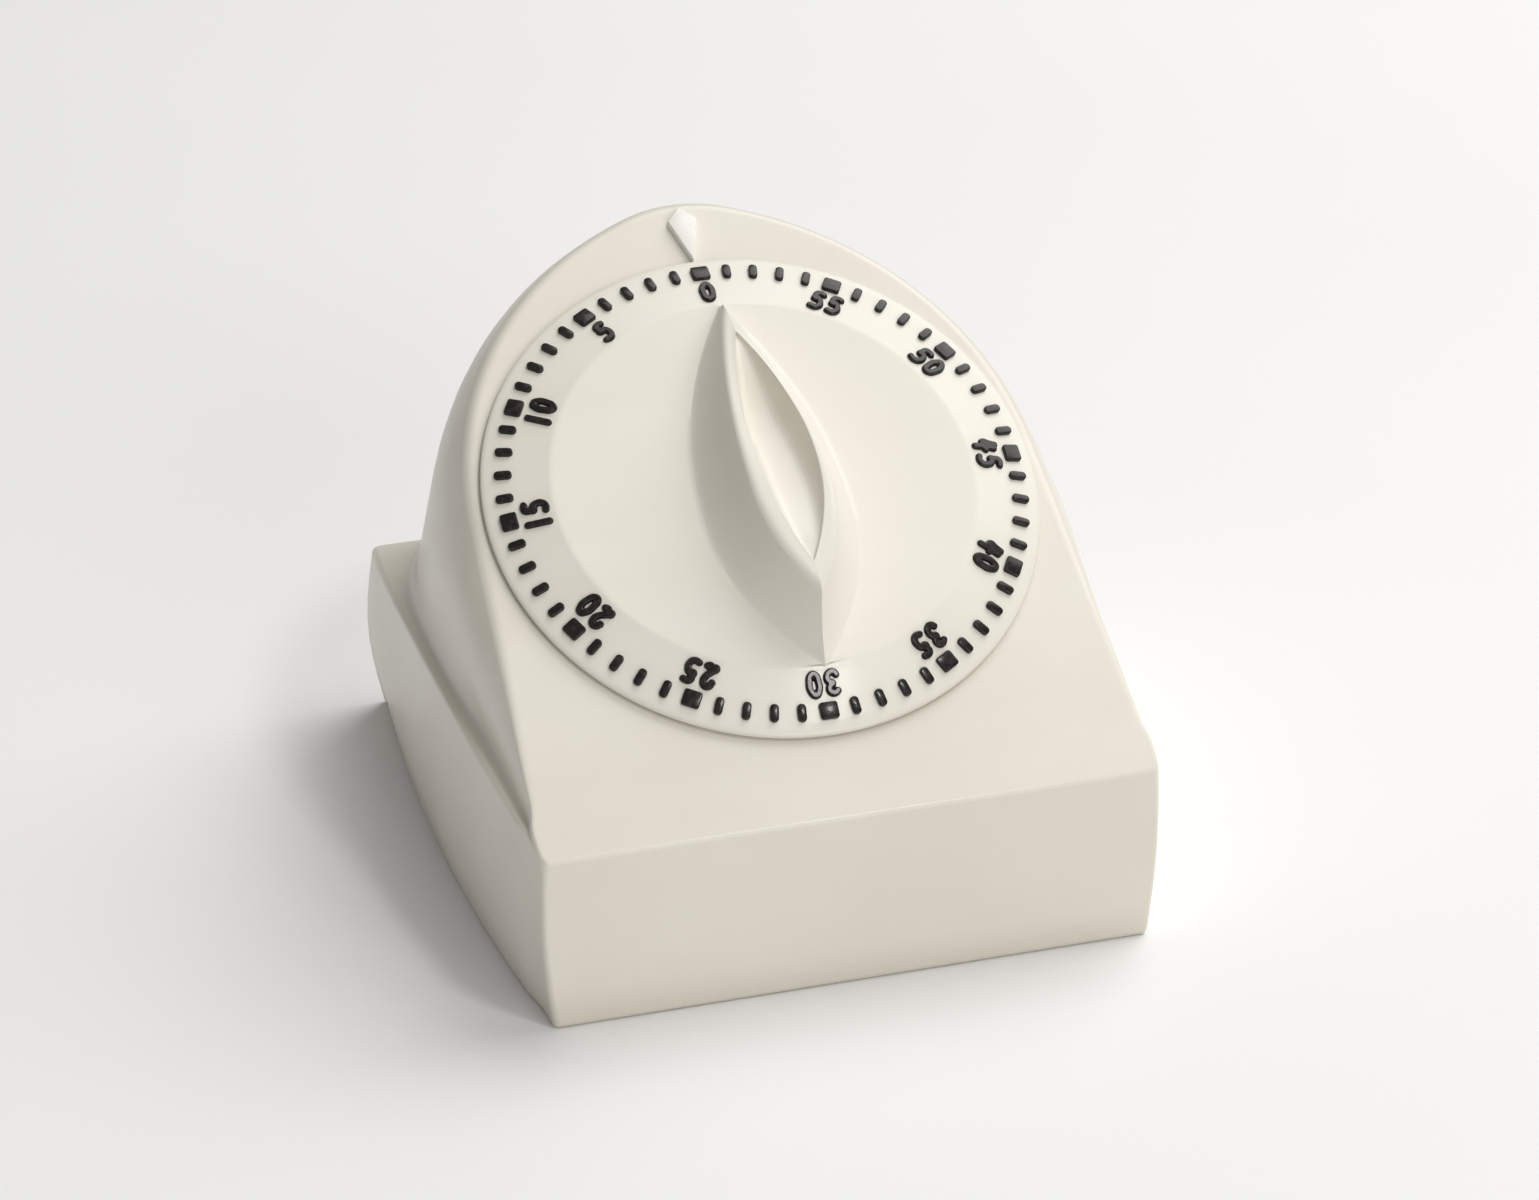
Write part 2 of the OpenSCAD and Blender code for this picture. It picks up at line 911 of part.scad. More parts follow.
module hammer() {
    color("#8f8f8c")
    face_frame() {
        layer(hammer_layer, 1)
            difference() {
                union() {
                    translate(hammer_at)
                        circle(r = 2);
                    translate(hammer_at)
                        rotate([0, 0, bearing(hammer_at, hammer_head_at)])
                            translate([0, -0.8])
                                square([norm(hammer_head_at - hammer_at), 1.6]);
                }
                translate(hammer_at)
                    circle(r = pivot_r);
            }
        rod(hammer_head_at, hammer_layer, 4.5, 1.8);
    }
}

// A leaf that pushes the hammer back after each stroke, on its own stud
module hammer_spring() {
    color("#5d6470")
    face_frame() {
        layer(hammer_layer - 0.3, 1.6)
            union() {
                translate(hammer_spring_at)
                    circle(r = 0.9);
                translate(hammer_spring_at + [-6.2, -0.15])
                    square([6.2, 0.3]);
            }
        rod(hammer_spring_at, back_plate_at, plate_t + 0.8, 0.5);
    }
}

module bell_post() {
    shoulder_end = bell_layer + bell_height - bell_t;
    color("#c9c7c0")
    face_frame() {
        rod(bell_at, back_plate_at, plate_t, 1);
        rod(bell_at, back_plate_at + plate_t, shoulder_end - back_plate_at - plate_t, 2.2);
        rod(bell_at, shoulder_end, bell_t + 2, bell_hole_r);
    }
}

// A quarter-rounded cup outline: half its section, from the axis out
module cup_section(radius, height, corner) {
    square([radius, height - corner]);
    square([radius - corner, height]);
    translate([radius - corner, height - corner])
        intersection() {
            circle(r = corner);
            square(corner);
        }
}

module bell() {
    color("#b9bcc0")
    face_frame()
        translate([bell_at[0], bell_at[1], -bell_layer])
            mirror([0, 0, 1])
                rotate_extrude($fn = 96)
                    difference() {
                        cup_section(bell_r, bell_height, 6);
                        translate([0, -0.01])
                            cup_section(bell_r - bell_t, bell_height - bell_t + 0.01, 6 - bell_t);
                        square([bell_hole_r, 20]);
                    }
}

module bell_nut() {
    color("#c9c7c0")
    face_frame()
        translate([bell_at[0], bell_at[1], 0])
            layer(bell_layer + bell_height, 1.5)
                difference() {
                    circle(r = 2.8, $fn = 6);
                    circle(r = bell_hole_r);
                }
}

housing();
pointer();
base_plate();
base_screws();
dial();
minute_marks();
minute_numbers();
dial_arbor();
thrust_washer();
alarm_cam();
main_wheel();
ratchet_wheel();
click();
front_plate();
back_plate();
pillars();
pillar_nuts();
movement_screws();
plate_studs();
mainspring();
second_arbor();
second_wheel();
third_arbor();
third_wheel();
escape_arbor();
escape_wheel();
balance_staff();
balance_wheel();
hairspring();
alarm_lever();
hammer_arbor();
hammer();
hammer_spring();
bell_post();
bell();
bell_nut();
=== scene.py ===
"""A wind-up kitchen timer: case with a sloping face, one-hour dial with a boat-shaped knob, movement and bell."""

import math

import bpy
from mathutils import Matrix, Vector


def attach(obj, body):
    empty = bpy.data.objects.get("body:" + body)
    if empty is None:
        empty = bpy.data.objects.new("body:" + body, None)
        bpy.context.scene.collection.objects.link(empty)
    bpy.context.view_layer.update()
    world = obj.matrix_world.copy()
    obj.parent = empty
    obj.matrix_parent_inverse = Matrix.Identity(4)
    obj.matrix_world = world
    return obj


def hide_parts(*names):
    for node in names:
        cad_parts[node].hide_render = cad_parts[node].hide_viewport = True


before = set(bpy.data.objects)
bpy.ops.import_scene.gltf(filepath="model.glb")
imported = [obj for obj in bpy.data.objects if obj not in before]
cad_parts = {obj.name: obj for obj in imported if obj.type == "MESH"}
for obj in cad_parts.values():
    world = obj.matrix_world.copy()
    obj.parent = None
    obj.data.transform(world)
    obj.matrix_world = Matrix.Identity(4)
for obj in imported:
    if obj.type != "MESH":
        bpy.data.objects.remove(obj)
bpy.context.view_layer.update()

# ---- Case ----
# One hollow moulding in ivory plastic: a square base with bowed sides, a sloping face with an arched top and a hood
# behind it that runs back into the base. Every edge is rounded, and the hood meets the base's ledge in a soft hollow.
# The wall is 2.4 mm thick and carries posts for the base's screws and bosses for the movement's screws.

MM = 0.001
TILT = math.radians(32)
DIAL_MIDDLE = (-4.213, 43.463)
BACK_Y = 40
LEDGE_X = 35.4
LEDGE_BOW = 2.95
FOOT_X = 34.7
FOOT_BOW = 2.5
LEDGE_Z = 21.1
LEDGE_RISE = 4.3
CREASE_V = -42.2
FACE_LEAN = 2.6 / 43
FACE_X = 32.8
ARCH_V = 0.8
ARCH_R = 41.1
ARCH_X = 8.3
CROWN_V = 23
CROWN_R = 17.4
HOOD_GROW = 3.2
HOOD_DEPTH = 14.0
CORNER_R = 0.8
CREASE_ROUND = 0.5
HEEL_Z = 0.9
WALL_SCALE = (0.936, 0.94, 0.963)
REAR_X = 35.85
REAR_CORNER_R = 0.7
REAR_FOOT = 28.6
REAR_HOOD = 28.1
SIDE_START = -39.2
SIDE_END = 38.4
FRONT_BULGE = 0.5
SIDE_PILLOW = 0.45
REAR_PILLOW = 0.75
RIM_LAST_V = 23.3
BORE_R = 4.7
SCREW_X = 31.8
SCREW_Y = 27
BOSSES = ((-17.5, 4.5), (17.8, 3.6), (0, -21.8))


def on_face(u, v, w=0.0):
    """A point across, up and out of the sloping face, measured from the dial's centre, in millimetres."""
    y, z = DIAL_MIDDLE
    return Vector((u, y + v * math.cos(TILT) - w * math.sin(TILT), z + v * math.sin(TILT) + w * math.cos(TILT)))


DOWN = -Vector((0, -math.sin(TILT), math.cos(TILT)))
FACE_PLACE = Matrix.Translation(on_face(0, 0) * MM) @ Matrix.Rotation(TILT, 4, "X")


def smooth(t):
    t = min(max(t, 0.0), 1.0)
    return t * t * (3 - 2 * t)


def mix(a, b, t):
    return a + (b - a) * t


def curve(a, a_out, b, b_in, steps):
    """Points after a and up to b on a cubic curve that leaves a towards a_out and comes to b from b_in."""
    found = []
    for k in range(1, steps + 1):
        t = k / steps
        s = 1 - t
        found.append(a * s**3 + a_out * (3 * s * s * t) + b_in * (3 * s * t * t) + b * t**3)
    return found


def line(a, b, steps):
    return [mix(a, b, k / steps) for k in range(1, steps + 1)]


def outline_at(v):
    """The face's left edge at this height up the slope, and the outward direction there."""
    if v < ARCH_V:
        return Vector((-FACE_X - (ARCH_V - v) * FACE_LEAN, v)), Vector((-1, FACE_LEAN)).normalized()
    a = math.asin((v - ARCH_V) / ARCH_R)
    return Vector((ARCH_X - ARCH_R * math.cos(a), v)), Vector((-math.cos(a), math.sin(a)))


def outline_under(x, grow):
    """The face's edge whose point grown outwards by this much lies this far left of the middle."""
    b = math.asin(min(1.0, x / (CROWN_R + grow)))
    if b < math.atan2(ARCH_X, CROWN_V - ARCH_V):
        out = Vector((-math.sin(b), math.cos(b)))
        return Vector((0, CROWN_V)) + out * CROWN_R, out
    a = math.acos((x + ARCH_X) / (ARCH_R + grow))
    out = Vector((-math.cos(a), math.sin(a)))
    return Vector((ARCH_X, ARCH_V)) + out * ARCH_R, out


def bow(y):
    """1 half way back and 0 at the front and the rear."""
    return 1 - (y / BACK_Y) ** 2


def ledge_height(y):
    return LEDGE_Z + LEDGE_RISE * bow(y)


def heel_points(foot, side):
    """The last rounding, where the wall turns under at its foot."""
    return [foot + Vector((0, 0, rise)) - side * tuck for rise, tuck in ((0.5, 0.06), (0.2, 0.22), (0.0, 0.6))]


def rib(rim, out, grow, depth, valley, edge, foot, foot_out, soft_valley, soft_edge, pillow):
    """One line over the case from the face's rim to its foot: shoulder, flank, hollow, ledge, edge, side and foot."""
    inner = on_face(*(rim - out * 0.5))
    support = on_face(*(rim - out * 0.8))
    shoulder = on_face(*(rim + out * grow)) + DOWN * depth
    brow = on_face(*(rim + out * min(0.2, grow * 0.3)))
    brow_out = brow + (shoulder - DOWN * depth - brow) * 0.65 + DOWN * depth * 0.2
    side = curve(brow, brow_out, shoulder, shoulder - DOWN * depth * 0.5, 18)
    points = [support, inner]
    points += curve(inner, mix(inner, brow, 0.75), side[1], mix(side[1], brow, 0.6), 4)
    points += side[5::3]
    flank = valley - shoulder
    ledge = edge - valley
    before = min(soft_valley, flank.length * 0.85)
    after = min(soft_valley * 0.8, ledge.length * 0.55)
    start = valley - flank.normalized() * before if flank.length > 1e-6 else valley
    end = valley + ledge.normalized() * after if ledge.length > 1e-6 else valley
    points += line(shoulder, start, 4)
    points += curve(start, mix(start, valley, 0.62), end, mix(end, valley, 0.62), 9)
    wall = foot - edge
    before = min(soft_edge, ledge.length * 0.42)
    start = edge - ledge.normalized() * before if ledge.length > 1e-6 else edge
    end = edge + wall.normalized() * min(soft_edge, wall.length * 0.3)
    points += line(points[-1], start, 2)
    points += curve(start, mix(start, edge, 0.58), end, mix(end, edge, 0.58), 7)
    heel = foot + Vector((0, 0, HEEL_Z))
    for k in range(1, 8):
        t = k / 7
        points.append(mix(end, heel, t) - Vector((pillow * math.sin(math.pi * t), 0, 0)))
    return points + heel_points(foot, Vector((foot_out[0], foot_out[1], 0)))


def front_rib(x, corner):
    """A rib over the front band; corner runs from 0 on the straight front to 1 where the corner meets the side."""
    turn = math.radians(90) * corner
    out = Vector((-math.sin(turn), -math.cos(turn)))
    if corner > 0:
        rim = Vector((CORNER_R - LEDGE_X, CREASE_V + CORNER_R)) + out * CORNER_R
        top = Vector((CORNER_R - LEDGE_X + out.x * CORNER_R, CORNER_R - BACK_Y + out.y * CORNER_R, 0))
    else:
        rim = Vector((x, CREASE_V))
        top = Vector((x, -BACK_Y, 0))
    crease = on_face(*rim)
    start = Vector((top.x, top.y, crease.z - CREASE_ROUND))
    inner = on_face(*(rim - out * CREASE_ROUND))
    support = on_face(*(rim - out * (CREASE_ROUND + 0.25)))
    foot = Vector((top.x * FOOT_X / LEDGE_X, top.y, 0))
    heel = foot + Vector((0, 0, HEEL_Z))
    points = [support, inner]
    points += curve(inner, mix(inner, crease, 0.62), start, mix(start, crease, 0.62), 9)
    points += line(start, start - Vector((0, 0, 0.5 + 4.5 * (1 - corner) ** 1.5)), 22)
    points += line(points[-1], heel, 7)
    bulge = FRONT_BULGE * min(1, -top.x / (LEDGE_X - CORNER_R))
    for point in points[11:]:
        down = min(1, (start.z - point.z) / (start.z - heel.z))
        point.x -= bulge * math.sin(math.pi * down)
    return points + heel_points(foot, Vector((out.x, out.y, 0)))


def hood_grow(y):
    """How far the hood's foot stands out from the face's rim: nothing at the front, all of it behind the middle."""
    return HOOD_GROW * smooth((y + BACK_Y) / 52)


def flank_foot(start):
    """Where the line down from start meets the ledge."""
    d = 0.0
    for _ in range(30):
        here = start + DOWN * d
        d += (here.z - ledge_height(min(here.y, BACK_Y))) / (-DOWN.z)
    return start + DOWN * d


def corner_rib(y, out_by):
    """The line of the rounded front corner moved back to y and outwards by out_by, with no ledge in it yet."""
    back = y - SIDE_START
    made = []
    for point in front_rib(0, 1):
        share = min(1, point.z / 21)
        made.append(point + Vector((-out_by * share, back, back * math.tan(TILT) * share)))
    return made


# the front, from the middle to the left corner
ribs = []
for k in range(24):
    ribs.append(front_rib((CORNER_R - LEDGE_X) * k / 23, 0))
for k in range(1, 6):
    ribs.append(front_rib(0, k / 6))

# the left side, from the front to the rear
for k in range(61):
    y = mix(SIDE_START, SIDE_END, k / 60)
    v = mix(CREASE_V, RIM_LAST_V, (y + BACK_Y) / (SIDE_END + BACK_Y))
    rim, out = outline_at(v)
    grow = hood_grow(y)
    top = on_face(*(rim + out * grow))
    valley = flank_foot(top)
    depth = min(mix(8, HOOD_DEPTH, smooth((v + 6) / 14)), (valley - top).length * 0.8)
    half = LEDGE_X + LEDGE_BOW * bow(y) + (REAR_X - LEDGE_X) * smooth((y + 5) / 45)
    edge = Vector((-half, y, ledge_height(y)))
    foot = Vector((-FOOT_X - FOOT_BOW * bow(y), y, 0))
    soft_valley = mix(6, 1.2, smooth((y - 2) / 34))
    pillow = SIDE_PILLOW + REAR_PILLOW * smooth((y - 6) / 32)
    points = rib(rim, out, grow, depth, valley, edge, foot, (-1, 0), soft_valley, 0.9, pillow)
    if k < 6:
        points = [mix(a, b, smooth(k / 6)) for a, b in zip(corner_rib(y, half - LEDGE_X), points)]
    ribs.append(points)


def rear_pillow(x):
    """How far the rear face is drawn outwards half way up at x, as the sides' swelling dies away behind."""
    return (SIDE_PILLOW + REAR_PILLOW) * (x / REAR_X) ** 4


# the rear corner, and the short stretch of ledge behind it
for k in range(1, 7):
    turn = math.radians(90) * k / 7
    aim = Vector((-math.cos(turn), math.sin(turn)))
    rim, out = outline_at(RIM_LAST_V + 0.03 * k)
    valley = flank_foot(on_face(*(rim + out * HOOD_GROW)))
    corner = Vector((REAR_CORNER_R - REAR_X, BACK_Y - REAR_CORNER_R)) + aim * REAR_CORNER_R
    edge = Vector((corner.x, corner.y, ledge_height(corner.y)))
    foot = Vector((corner.x * FOOT_X / LEDGE_X, corner.y, 0))
    pillow = SIDE_PILLOW + REAR_PILLOW
    ribs.append(rib(rim, out, HOOD_GROW, HOOD_DEPTH, valley, edge, foot, aim, 1.2, 0.8, pillow))
for k in range(7):
    t = k / 6
    rim, out = outline_at(RIM_LAST_V + 0.2 + 0.3 * t)
    valley = flank_foot(on_face(*(rim + out * HOOD_GROW)))
    edge = Vector((mix(REAR_CORNER_R - REAR_X, -REAR_FOOT, t), BACK_Y, LEDGE_Z))
    foot = Vector((edge.x * mix(FOOT_X / LEDGE_X, 1, t), BACK_Y, 0))
    pillow = rear_pillow(edge.x)
    ribs.append(rib(rim, out, HOOD_GROW, HOOD_DEPTH, valley, edge, foot, (0, 1), 1.2, 0.8, pillow))

# the hood's cut-off rear, from its foot up to the top
for k in range(34):
    x = REAR_HOOD * (1 - k / 33)
    rim, out = outline_under(x, HOOD_GROW)
    top = on_face(*(rim + out * HOOD_GROW))
    back = (BACK_Y - top.y) / DOWN.y
    depth = min(HOOD_DEPTH, back * 0.8)
    valley = top + DOWN * back
    soften = min(4.5, 0.8 + 0.5 * (REAR_HOOD - x))
    edge = valley + Vector((0, 0, -7))
    foot = Vector((valley.x, BACK_Y, 0))
    ribs.append(rib(rim, out, HOOD_GROW, depth, valley, edge, foot, (0, 1), soften, 0.5, rear_pillow(valley.x)))

rows = len(ribs[0])
bpy.ops.object.select_all(action="DESELECT")
bpy.ops.mesh.primitive_grid_add(x_subdivisions=rows - 1, y_subdivisions=len(ribs) - 1, size=0.1)
case = bpy.context.active_object
case.name = "case"
for j, points in enumerate(ribs):
    for i, point in enumerate(points):
        case.data.vertices[j * rows + i].co = Vector((point.x, max(-BACK_Y, min(BACK_Y, point.y)), point.z)) * MM


def apply_modifier(piece, kind, **settings):
    bpy.context.view_layer.objects.active = piece
    modifier = piece.modifiers.new(kind.title(), kind)
    for name, value in settings.items():
        setattr(modifier, name, value)
    bpy.ops.object.modifier_apply(modifier=modifier.name)


apply_modifier(case, "MIRROR", use_axis=(True, False, False), merge_threshold=2e-6)

def select_open_edges():
    """Selects only the edges, of the mesh being edited, that have a face on one side."""
    bpy.ops.mesh.select_all(action="DESELECT")
    bpy.ops.mesh.select_non_manifold(
        extend=False, use_wire=False, use_multi_face=False, use_non_contiguous=False, use_verts=False
    )


# the flat of the face closes the opening in the middle
bpy.ops.object.mode_set(mode="EDIT")
bpy.ops.mesh.select_mode(type="VERT")
select_open_edges()
bpy.ops.object.mode_set(mode="OBJECT")
for vertex in case.data.vertices:
    if vertex.co.z < 0.01:
        vertex.select = False
for edge in case.data.edges:
    edge.select = all(case.data.vertices[i].select for i in edge.vertices) and edge.select
bpy.ops.object.mode_set(mode="EDIT")
bpy.ops.mesh.edge_face_add()
bpy.ops.mesh.select_all(action="SELECT")
bpy.ops.mesh.normals_make_consistent(inside=False)
bpy.ops.object.mode_set(mode="OBJECT")

# the inside is the same shell drawn in towards the middle of the foot, joined to the outside round the foot
bpy.ops.object.mode_set(mode="EDIT")
bpy.ops.mesh.select_all(action="SELECT")
bpy.ops.mesh.duplicate()
bpy.ops.transform.resize(value=WALL_SCALE, center_override=(0, 0, 0))
bpy.ops.mesh.flip_normals()
select_open_edges()
bpy.ops.mesh.bridge_edge_loops()
bpy.ops.object.mode_set(mode="OBJECT")


def add_posts(places, turn, radius, height):
    """Round posts centred on these places in millimetres, turned this far about x."""
    made = []
    for place in places:
        bpy.ops.mesh.primitive_cylinder_add(
            vertices=40, radius=radius * MM, depth=height * MM, location=place * MM, rotation=(turn, 0, 0)
        )
        made.append(bpy.context.active_object)
    return made


def join(into, others):
    bpy.ops.object.select_all(action="DESELECT")
    for other in others:
        other.select_set(True)
    into.select_set(True)
    bpy.context.view_layer.objects.active = into
    bpy.ops.object.join()


# the bore for the dial's hub, the posts for the base's screws, and the bosses for the movement's screws
bore = add_posts([on_face(0, 0, -1)], TILT, BORE_R, 12)[0]
apply_modifier(case, "BOOLEAN", object=bore, operation="DIFFERENCE", solver="EXACT")
bpy.data.objects.remove(bore)
posts = add_posts([Vector((x, y, 7)) for x in (-SCREW_X, SCREW_X) for y in (-SCREW_Y, SCREW_Y)], 0, 3.2, 10)
posts += add_posts([on_face(u, v, -3.4) for u, v in BOSSES], TILT, 3.0, 3.1)
join(case, posts)
bpy.ops.object.shade_smooth_by_angle(angle=math.radians(50))
apply_modifier(case, "WEIGHTED_NORMAL", weight=80, keep_sharp=True)
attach(case, "case")
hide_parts("housing")


class Wire:
    """One output of a material's nodes, which can be added to, multiplied and so on to make further nodes."""

    def __init__(self, tree, socket=None):
        self.tree = tree
        self.socket = socket

    def make(self, kind, settings=None, inputs=None, output=0):
        """Adds a node of this type with these settings and inputs, and returns its output."""
        node = self.tree.nodes.new("ShaderNode" + kind)
        for name, value in (settings or {}).items():
            setattr(node, name, value)
        for name, value in (inputs or {}).items():
            if isinstance(value, Wire):
                self.tree.links.new(value.socket, node.inputs[name])
            else:
                node.inputs[name].default_value = value
        return Wire(self.tree, node.outputs[output])

    def maths(self, operation, *values, clamp=False):
        return self.make("Math", {"operation": operation, "use_clamp": clamp}, dict(enumerate(values)))

    def __add__(self, other):
        return self.maths("ADD", self, other)

    __radd__ = __add__

    def __sub__(self, other):
        return self.maths("SUBTRACT", self, other)

    def __rsub__(self, other):
        return self.maths("SUBTRACT", other, self)

    def __mul__(self, other):
        return self.maths("MULTIPLY", self, other)

    __rmul__ = __mul__

    def between(self, low, high):
        """0 below low, 1 above high, and a smooth rise in between."""
        settings = {"interpolation_type": "SMOOTHSTEP"}
        return self.make("MapRange", settings, {"Value": self, "From Min": low, "From Max": high})

    def colours(self, low, high):
        """Mixes two colours, or two wires, by this one."""
        node = self.tree.nodes.new("ShaderNodeMix")
        node.data_type = "RGBA"
        self.tree.links.new(self.socket, node.inputs["Factor"])
        for slot, value in ((6, low), (7, high)):
            if isinstance(value, Wire):
                self.tree.links.new(value.socket, node.inputs[slot])
            else:
                node.inputs[slot].default_value = (*value, 1)
        return Wire(self.tree, node.outputs[2])

    def noise(self, scale, detail=3.0, rough=0.5, stretch=(1, 1, 1), distortion=0.0):
        """Noise over the object's own coordinates, with features about 1/scale metres across."""
        place = self.make("TexCoord", output=3)
        place = self.make("Mapping", None, {"Vector": place, "Scale": stretch})
        inputs = {"Vector": place, "Scale": scale, "Detail": detail, "Roughness": rough, "Distortion": distortion}
        return self.make("TexNoise", None, inputs)

    def coordinates(self):
        """The object's own x, y and z in metres."""
        place = self.make("TexCoord", output=3)
        return [self.make("SeparateXYZ", None, {"Vector": place}, output=k) for k in range(3)]


def finish(name, numbers, build):
    """A material with one principled shader. build takes a wire and returns what feeds the shader's inputs."""
    material = bpy.data.materials.new(name)
    material.use_nodes = True
    tree = material.node_tree
    shader = tree.nodes["Principled BSDF"]
    for key, value in numbers.items():
        shader.inputs[key].default_value = value
    for key, wire in build(Wire(tree)).items():
        tree.links.new(wire.socket, shader.inputs[key])
    return material


def bump(wire, height, strength, distance):
    return wire.make("Bump", None, {"Height": height, "Strength": strength, "Distance": distance})


def ivory(name, light, deep, rough, foot):
    """Moulded ivory plastic: mottled, dulled by handling, with flow lines, fine specks and, if foot, a browner, darker
    colour towards the bottom.
    """

    def build(wire):
        cloud = wire.noise(38, 4, 0.55)
        flow = wire.noise(60, 2, 0.5, stretch=(0.35, 1.4, 1.0), distortion=0.6)
        speck = wire.noise(2600, 1, 0.5).between(0.74, 0.8)
        hand = wire.noise(120, 5, 0.6)
        orange = wire.noise(900, 2, 0.5)
        grain = wire.noise(5200, 1, 0.5)
        colour = (cloud * 0.6 + flow * 0.4).between(0.34, 0.68).colours(light, deep)
        if foot:
            # colour turned browner and darker over the lowest 5 mm of the case
            low = 1 - wire.coordinates()[2].between(0.0, 0.005)
            colour = (low * 0.22).colours(colour, (0.42, 0.37, 0.29))
        colour = (speck * 0.1).colours(colour, (0.30, 0.26, 0.2))
        scratch = wire.noise(700, 2, 0.4, stretch=(0.06, 1, 1)).between(0.66, 0.7)
        return {
            "Base Color": colour,
            "Roughness": rough + (hand - 0.5) * 0.14 + speck * 0.08 + scratch * 0.05,
            "Normal": bump(wire, orange * 0.7 + grain * 0.25 - scratch * 0.2, 0.16, 0.00006),
        }

    return finish(name, {"IOR": 1.5, "Coat Weight": 0.12, "Coat Roughness": 0.12}, build)


case.data.materials.clear()
case.data.materials.append(ivory("ivory_case", (0.80, 0.765, 0.675), (0.765, 0.725, 0.63), 0.36, True))

# ---- Pointer ----
# The raised kite at the top of the face that the dial is read against. It belongs to the case's moulding, and its flat
# top is painted a clean white.

KITE = ((0, 39.75), (-1.72, 37.9), (0, 32.1), (1.72, 37.9))
KITE_SUNK = 0.3
KITE_PROUD = 0.95

bpy.ops.object.select_all(action="DESELECT")
bpy.ops.mesh.primitive_circle_add(vertices=4, radius=1, fill_type="NGON", location=(0, 0, 0))
pointer = bpy.context.active_object
pointer.name = "kite"
for vertex, (u, v) in zip(pointer.data.vertices, KITE):
    vertex.co = (u * MM, v * MM, -KITE_SUNK * MM)
bpy.ops.object.mode_set(mode="EDIT")
bpy.ops.mesh.select_all(action="SELECT")
bpy.ops.mesh.extrude_region_move(TRANSFORM_OT_translate={"value": (0, 0, (KITE_PROUD + KITE_SUNK) * MM)})
bpy.ops.mesh.select_all(action="SELECT")
bpy.ops.mesh.normals_make_consistent(inside=False)
bpy.ops.mesh.bevel(offset=0.14 * MM, segments=4, profile=0.5, affect="EDGES")
bpy.ops.object.mode_set(mode="OBJECT")
pointer.data.transform(FACE_PLACE)
bpy.ops.object.shade_smooth_by_angle(angle=math.radians(35))
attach(pointer, "case")
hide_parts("pointer")


def white_paint(wire):
    wear = wire.noise(900, 4, 0.6)
    brush = wire.noise(1800, 2, 0.5, stretch=(1, 0.3, 1))
    return {
        "Base Color": wear.between(0.35, 0.7).colours((0.88, 0.87, 0.83), (0.84, 0.82, 0.77)),
        "Roughness": 0.3 + brush * 0.12,
        "Normal": bump(wire, brush, 0.2, 0.00004),
    }


pointer.data.materials.clear()
pointer.data.materials.append(finish("white_pointer", {"IOR": 1.48, "Coat Weight": 0.15}, white_paint))

# ---- Dial and knob ----
# One moulding in a slightly lighter ivory: a flat disc, a sloping ring for the numbers, and a knob like an upturned
# boat across it. The knob's sides run out on a hollow curve into the disc, and its top has a long scooped hollow.

AROUND = 240
KNOB_U = 0.75
HOLLOW_UPPER = 17.6
HOLLOW_LOWER = -15.2
HOLLOW_WIDTH = 3.3
HOLLOW_LIP = 0.32
HOLLOW_LOW_V = 6.5
HOLLOW_LOW_W = 6.6
EDGE_UPPER = 23.4
EDGE_LOWER = -18.8
EDGE_DROP = 0.46
TOE_UPPER = 24.1
TOE_LOWER = -24.6
DISC_R = 24.2
DISC_W = 2.9


def boat(turn, upper, lower, left, right, above, below):
    """A point on a pointed outline from v = upper to v = lower; turn 0 is its upper tip, and turns go by the right.

    left and right hold the height at which that side is widest and its width there from the spine. above and below say
    how full the sides are over and under that height.
    """
    middle, width = right if math.sin(turn) >= 0 else left
    share = math.cos(turn)
    v = middle + share * (upper - middle if share > 0 else middle - lower)
    u = width * (1 - abs(share) ** (above if share > 0 else below))
    return (u if math.sin(turn) >= 0 else -u), v


def deck(v):
    """Height of the knob's top: it falls away to the disc at its upper end, which points at the numbers."""
    return 11.2 - 0.0075 * (v + 6) ** 2


def turns():
    return [2 * math.pi * k / AROUND for k in range(AROUND)]


def bend(v):
    """How far the hollow's spine lies to the right of the knob's own."""
    return -0.25 + 0.45 * smooth(1 - abs(v + 5) / 14)


def hollow(v, share):
    """Height inside the long hollow, this share of the way from its spine to its rim: deepest high up, flat across."""
    lip = deck(v) - HOLLOW_LIP
    down = HOLLOW_LOW_W + 0.07 * (v - HOLLOW_LOW_V)
    up = HOLLOW_LOW_W - 0.215 * (v - HOLLOW_LOW_V)
    floor = (down + up + math.hypot(down - up, 0.5)) / 2
    floor = (floor + lip - math.hypot(floor - lip, 0.4)) / 2
    return mix(floor, lip, share**7)


hollow_side = (1, HOLLOW_WIDTH)
rim = [boat(a, HOLLOW_UPPER, HOLLOW_LOWER, hollow_side, hollow_side, 1.65, 2.6) for a in turns()]
edge = [
    boat(a, EDGE_UPPER, EDGE_LOWER, (-2, 5.0), (-4, 4.35), 1.9 if math.sin(a) < 0 else 1.2, 2.6) for a in turns()
]
toe = [boat(a, TOE_UPPER, TOE_LOWER, (-4, 9.0), (-4, 8.4), 2.1, 2.1) for a in turns()]

# the hollow from its spine out to its lip, and over the lip
loops = []
for share in (0.0, 0.18, 0.36, 0.53, 0.68, 0.8, 0.9, 0.955, 0.985):
    loop = [(u * share, mix(1 + (v - 1) * 0.9, v, share)) for u, v in rim]
    loops.append([(u + bend(v), v, hollow(v, share)) for u, v in loop])
for grow, drop in ((0.0, 0.2), (0.012, 0.07), (0.035, 0.0)):
    loops.append([(u * (1 + grow) + bend(v), v * (1 + grow * 0.5), deck(v) - drop) for u, v in rim])

